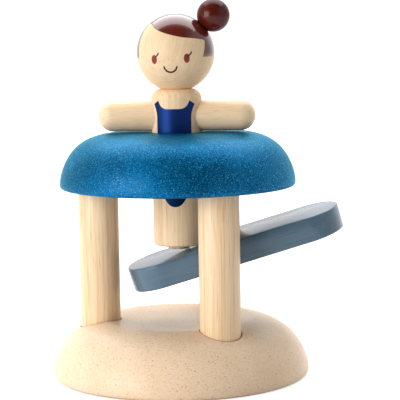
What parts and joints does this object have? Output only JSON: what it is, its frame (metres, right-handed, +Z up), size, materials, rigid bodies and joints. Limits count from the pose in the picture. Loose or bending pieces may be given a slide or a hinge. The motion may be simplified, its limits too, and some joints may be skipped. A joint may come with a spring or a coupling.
{
  "type": "jumping acrobat toy",
  "caption": "Wooden jumping-acrobat toy: a doll stands in a ring on posts over a see-saw board, and pressing the board's raised end throws the doll up through the ring.",
  "frame": {"origin": "centre of the base's flat underside, on the surface that the toy stands on", "axes": "+Z up; +X along the board towards its raised end; -Y towards the viewer that the doll faces"},
  "size_m": [0.1471, 0.129, 0.1873],
  "materials": {
    "pressed_wood": "satin",
    "blue_stained_wood": "satin",
    "natural_wood": "satin",
    "dowel_wood": "matte",
    "grey_blue_painted_wood": "satin",
    "button_wood": "satin",
    "figure_wood": "satin",
    "red_brown_painted_wood": "gloss"
  },
  "bodies": {
    "stand": {"base": "pressed_wood", "ring_top": "blue_stained_wood", "post_left": "natural_wood", "post_front": "natural_wood", "post_rear": "natural_wood", "board_axle": "dowel_wood"},
    "board": {"teeter_board": "grey_blue_painted_wood"},
    "foot": {"foot_button": "button_wood"},
    "figure": {"torso": "figure_wood", "arm_dowel": "figure_wood", "head": "figure_wood", "neck_dowel": "dowel_wood", "bun_dowel": "dowel_wood", "hair_bun": "red_brown_painted_wood"}
  },
  "joints": [
    {"name": "board_press", "type": "hinge", "parent": "stand", "child": "board", "pos_m": [0.02, 0, 0.0615], "axis": [0, 1, 0], "range_deg": [0, 52]},
    {"name": "figure_jump", "type": "slide", "parent": "stand", "child": "foot", "axis": [0, 0, 1], "range_m": [0, 0.0315]},
    {"name": "figure_turn", "type": "hinge", "parent": "foot", "child": "figure", "pos_m": [0, 0, 0.0655], "axis": [0, 0, 1], "continuous": true}
  ],
  "couplings": [
    {"joint": "figure_jump", "follows": "board_press", "m_per_rad": 0.0344}
  ]
}
